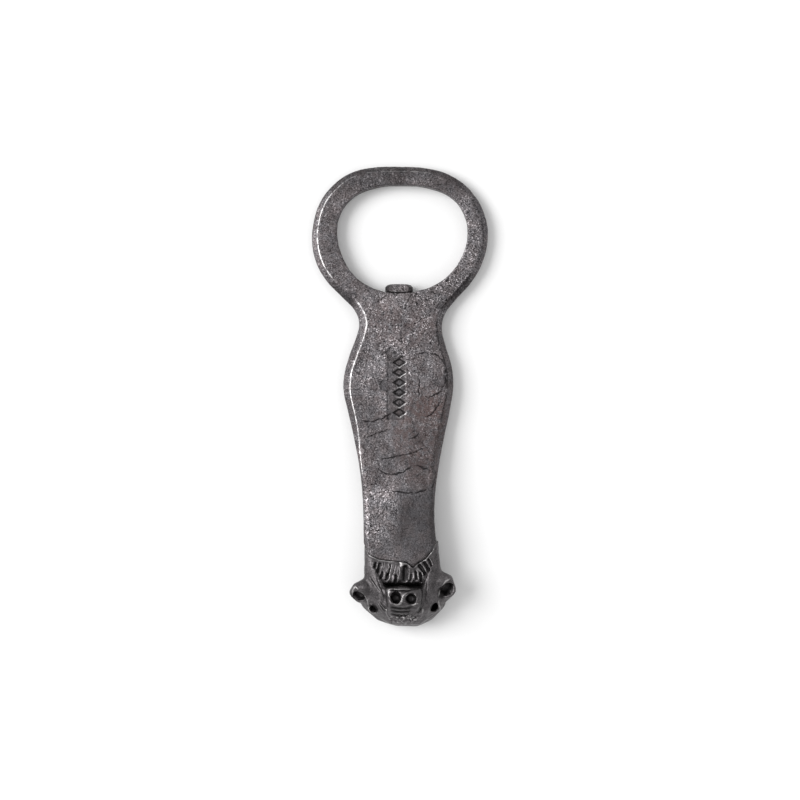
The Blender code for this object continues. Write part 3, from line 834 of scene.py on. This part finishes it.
def bear_head():
    piece, work = fine_copy("carved_bear", "bear_head", HEAD_VOXEL, 5)
    shape_face(work)
    work.push(0.09 * grain(work.points, 4.5, 51) + 0.03 * cloudy(work.points, 1.6, 53))
    work.refresh()
    collar(work)
    wander = 0.15 * np.stack([grain(work.points, 0.8, 65), grain(work.points, 0.8, 66)], axis=1)
    work.points[:, :2] += wander
    for top, bottom, width, depth in BEARD_CUTS:
        middle = ((top[0] + bottom[0]) / 2 + 0.15, (top[1] + bottom[1]) / 2)
        groove(work, [top, middle, bottom], width, depth, burr=0.25, dark=0.66, bright=0.05)
    for path in BEARD_CRESTS:
        weld_line(work, path, 0.17, 0.10, 0.14)
    work.points[:, :2] -= wander
    work.refresh()
    work.points[:, :2] += wander
    muzzle(work)
    for path in CHEEK_CRESTS:
        weld_line(work, path, 0.18, 0.10, 0.34)
    for path in CHEEK_CUTS:
        groove(work, path, 0.4, 0.14, burr=0.2, dark=0.5, bright=0.0)
    ears_and_eyes(work)
    work.points[:, :2] -= wander
    work.refresh()
    forehead = spot(work.points, 1.2, -67.2, 4.8, 2.0) * work.facing_up()
    rough = cloudy(work.points, 0.6, 87, 2)
    work.push(0.26 * rough * forehead)
    work.bright += 0.5 * forehead * ease(rough, 0.1, 0.5)
    work.dark += 0.5 * forehead * ease(-rough, 0.1, 0.5)
    work.refresh()
    bulge = work.bulge(7)
    work.store("ridge_and_highlight", 0.45 * ease(bulge, 0.03, 0.10) + work.bright)
    # How dark the head's hollows are painted, less in the left eye
    cavity_dark = 0.6 - 0.5 * spot(work.points, -8.05, -64.0, 1.4, 1.4)
    work.store("hollow_and_shade", cavity_dark * ease(-bulge, 0.02, 0.10) + work.dark)
    work.store("tone", head_tone(work))
    finish_piece(piece, work, "bear_head", carved_steel(), LARGE_PIECE)


def shape_face(work):
    """Brings the beard up to the rim, so that it slopes down into the mouth.

    It also fills the eye pits and ear hollows a little, makes the lip ragged and rounds the muzzle's sides.
    """
    x, y, z = work.points.T
    stations, heights = np.array(BEARD_FALL).T
    beard = (x > -8.3) & (x < 9.9) & (y > -57.6) & (y < -49.8) & (z > 6.3) & (work.normals[:, 2] > -0.2)
    lift = beard * np.maximum(np.interp(y, stations, heights) - z, 0.0)
    work.points[:, 2] += lift
    for pit_x, pit_y, radius, fill in PIT_FLOORS:
        reach = np.hypot(x - pit_x, y - pit_y) / radius
        floor = (1.0 - ease(z, 8.5, 11.0)) * (work.normals[:, 2] > 0.2)
        work.points[:, 2] += fill * (1.0 - ease(reach, 0.8, 1.2)) * floor
    lip = ease(-y, 56.8, 57.4) * (1.0 - ease(-y, 58.4, 59.6)) * ease(z, 9.5, 12.0) * (np.abs(x - 1.2) < 6.0)
    sag = np.column_stack([x, np.zeros((len(x), 2))])
    work.points[:, 1] += lip * (0.45 * grain(sag, 1.7, 67) + 0.15 * grain(sag, 0.7, 68) + 0.3)
    sides = np.maximum(1.0 - ease(np.abs(x + 4.3), 0.8, 1.8), 1.0 - ease(np.abs(x - 6.4), 0.8, 1.7))
    sides *= ease(-y, 57.4, 58.4) * ease(z, 10.0, 11.0)
    work.soften(np.maximum(sides, 0.6 * work.blur(beard.astype(float), 4) * ease(z, 8.0, 9.0)), 40)


def collar(work):
    """The head's edge is drawn up against the bar and burnished, and a painted highlight is laid on a short
    raised line below the seam's middle.
    """
    x, y = work.points[:, :2].T
    seam_y = np.interp(x, *np.array(SEAM).T)
    back = seam_y - y
    lip = 1 - ease(back, 0.3, 1.1)
    work.points[:, 1] += 0.2 * lip
    work.points[:, 2] += 0.25 * (1 - ease(back, 0.3, 1.3)) * work.facing_up(0.2, 0.6)
    rim = np.exp(-(((back - 0.5) / 0.2) ** 2)) * work.facing_up(0.1, 0.5)
    work.bright += 0.65 * rim * ease(grain(work.points, 1.2, 77), -0.9, 0.3)
    # Painted highlight: a glint on a short raised line below the seam's middle
    weld_line(work, [(0.45, -49.9), (0.5, -50.7), (0.6, -51.5)], 0.4, 0.35, 1.6)


def muzzle(work):
    """The mouth's cleft, painted dark as painted shade, the lip, the nostrils with their rims and two painted
    glints, and the wrinkles over the nose, the first darkened as painted shadow under the left nostril's rim.
    """
    x, y, z = work.points.T
    ragged = 0.5 * grain(work.points, 1.1, 63)
    across = ease(x + ragged, -5.2, -3.9) * ease(-x + ragged, -7.4, -6.2)
    # Painted shade: the mouth's cleft between the beard and the lip is painted dark
    work.dark += 0.5 * across * ease(y, -58.0, -57.5) * ease(-y + ragged, 55.6, 57.0) * ease(-z, -15.9, -14.9)
    weld_line(work, LIP, 0.2, 0.12, 0.45)
    groove(work, [(a, b - 0.55) for a, b in LIP], 0.45, 0.25, dark=0.8, bright=0.0)
    weld_line(work, [(a, b - 1.0) for a, b in LIP[:3]], 0.25, 0.1, 0.15)
    dent(work, -1.35, -60.5, 1.75, 0.3, rim=0.0, dark=0.75, bright=0.0)
    dent(work, 3.1, -60.7, 1.85, 0.35, rim=0.0, dark=0.6, bright=0.0)
    weld_line(work, LEFT_NOSTRIL_RIM, 0.22, 0.25, 1.0)
    # Painted highlights: two glints on the left nostril's rim
    glints = 0.8 * spot(work.points, -3.6, -58.2, 0.5, 0.7)
    work.bright += glints + 0.35 * spot(work.points, 0.5, -60.4, 0.45, 0.8)
    for path, bright in zip(RIGHT_NOSTRIL_RIMS, (0.6, 0.85)):
        weld_line(work, path, 0.2, 0.22, bright)
    # The first wrinkle's dark is painted shadow under the left nostril's rim
    for i in range(WRINKLE_COUNT):
        sag = -63.2 - 1.2 * i
        left, right = (-3.4 + 0.1 * i, sag + 0.7), (4.3 - 0.5 * i, sag + 0.7)
        path = [left, (-1.6, sag - 0.1), (0.8, sag - 0.4), (2.6, sag - 0.1), right]
        groove(work, path, 0.72, 0.42, burr=0.35, dark=0.9, bright=0.25)
    groove(work, [(6.5, -63.3), (5.8, -64.3), (5.1, -65.2)], 0.85, 0.45, dark=0.9, bright=0.35)
    dent(work, 4.0, -66.7, 0.9, 0.25, rim=0.6, dark=0.7, bright=0.3)
    weld_line(work, [(-4.0, -63.4), (-4.2, -65.0), (-3.6, -66.5), (-2.8, -68.0)], 0.24, 0.2, 0.5)
    weld_line(work, [(6.9, -63.3), (6.9, -65.6), (5.9, -67.1), (5.0, -68.2)], 0.24, 0.2, 0.45)


def ears_and_eyes(work):
    """Ear hollows with burnished rims, the eye pits and the brow lines that run round them."""
    groove(work, [(-14.0, -59.6), (-12.1, -60.4), (-10.5, -61.5)], 1.3, 0.3, burr=0.1, dark=0.75, bright=0.0)
    right_hollow = [(15.5, -56.0), (14.1, -58.4), (12.6, -60.3), (12.1, -61.6)]
    groove(work, right_hollow, 1.7, 0.3, burr=0.1, dark=0.85, bright=0.0)
    left_rim = [(-13.2, -56.9), (-14.1, -57.9), (-14.4, -59.3), (-13.8, -60.8), (-12.5, -61.6)]
    weld_line(work, left_rim, 0.26, 0.1, 1.0)
    weld_line(work, [(-13.6, -57.2), (-12.9, -57.9), (-12.4, -58.4)], 0.26, 0.2, 0.9)
    brow = [
        (-12.4, -58.4), (-10.8, -59.9), (-9.9, -61.2), (-9.5, -62.7), (-9.5, -64.3), (-8.9, -65.5),
        (-7.5, -66.6),
    ]
    weld_line(work, brow, 0.22, 0.22, 0.75)
    weld_line(work, [(-7.5, -66.6), (-4.5, -68.1), (-2.8, -69.0)], 0.22, 0.12, 0.45)
    right_rim = [(15.6, -54.6), (13.9, -55.6), (12.6, -57.3), (11.9, -59.3), (11.6, -61.2)]
    weld_line(work, right_rim, 0.26, 0.16, 0.8)
    weld_line(work, [(11.6, -61.2), (11.8, -63.1), (12.3, -64.3), (11.8, -66.0)], 0.24, 0.2, 0.75)
    weld_line(work, [(11.8, -66.0), (9.8, -67.3), (5.9, -68.8)], 0.22, 0.12, 0.45)
    weld_line(work, [(14.9, -59.3), (15.6, -58.6), (15.9, -57.6)], 0.24, 0.15, 0.6)
    dent(work, -8.05, -64.2, 1.4, 0.2, rim=0.1, dark=0.35, bright=0.1)
    dent(work, 10.3, -63.8, 1.6, 0.2, rim=0.1, dark=0.85, bright=0.1)


def head_tone(work):
    """The forehead and the locks of the beard are the lightest parts, and the muzzle the darkest. The beard's
    middle holds a painted shadow of the rim, the left cheek's slope is painted darker against the key's
    highlight, and a painted highlight sits below the seam's middle.
    """
    p = work.points
    tone = 1.0 + 0.12 * grain(p, 3.0, 79)
    tone += 0.25 * spot(p, 1.0, -67.6, 5.0, 1.8)
    tone += 0.12 * spot(p, 0.5, -52.6, 7.5, 3.4) + 0.15 * spot(p, -3.0, -52.0, 3.4, 2.4)
    # Painted shadow of the rim in the beard's middle, and the left cheek's slope painted darker to damp the
    # key's highlight on it
    tone -= 0.35 * spot(p, 1.6, -54.0, 1.8, 2.4) + 0.32 * spot(p, -8.2, -55.6, 2.6, 6.0)
    tone -= 0.10 * spot(p, 1.2, -61.0, 5.2, 4.2) + 0.25 * spot(p, 7.6, -55.4, 0.8, 3.4)
    tone += 0.3 * spot(p, 14.6, -54.9, 1.4, 1.0)
    # Painted highlight: the glint below the seam's middle
    tone += 1.0 * spot(p, 0.4, -50.7, 0.35, 1.1) + 0.3 * spot(p, 0.5, -55.6, 6.0, 1.4)
    return tone


# ---------------------------------------------------------------- floor, light and camera


def stage():
    mesh = bpy.data.meshes.new("floor")
    corners = [(x * FLOOR_HALF, y * FLOOR_HALF, 0) for x, y in ((-1, -1), (1, -1), (1, 1), (-1, 1))]
    mesh.from_pydata(corners, [], [(0, 1, 2, 3)])
    floor = bpy.data.objects.new("floor", mesh)
    floor.location.z = cad_low.z - FLOOR_GAP * MM
    mesh.materials.append(floor_paper())
    scene.collection.objects.link(floor)


def softbox(name, place, size, power):
    """A square area light, aimed at the middle of the opener."""
    light = bpy.data.lights.new(name, "AREA")
    light.shape = "RECTANGLE"
    light.size = light.size_y = size
    light.energy = power
    made = bpy.data.objects.new(name, light)
    made.location = place
    made.rotation_euler = Vector(place).to_track_quat("Z", "Y").to_euler()
    scene.collection.objects.link(made)


def lights():
    world = bpy.data.worlds.new("studio")
    world.use_nodes = True
    world.node_tree.nodes["Background"].inputs["Color"].default_value = (1.0, 1.0, 1.0, 1.0)
    world.node_tree.nodes["Background"].inputs["Strength"].default_value = WORLD_STRENGTH
    scene.world = world
    softbox("key_softbox", KEY_PLACE, KEY_SIZE, KEY_POWER)


def camera():
    data = bpy.data.cameras.new("camera")
    data.lens = CAMERA_LENS
    data.sensor_width = SENSOR
    data.clip_start = 0.01
    made = bpy.data.objects.new("camera", data)
    made.location = (*CAMERA_AIM, CAMERA_HEIGHT)
    scene.collection.objects.link(made)
    scene.camera = made


camera()
lights()
stage()
opener_bar()
stud()
bear_head()
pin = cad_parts["head_pin"]
pin.data.materials.clear()
pin.data.materials.append(pin_steel())
scene.view_settings.view_transform = "Standard"
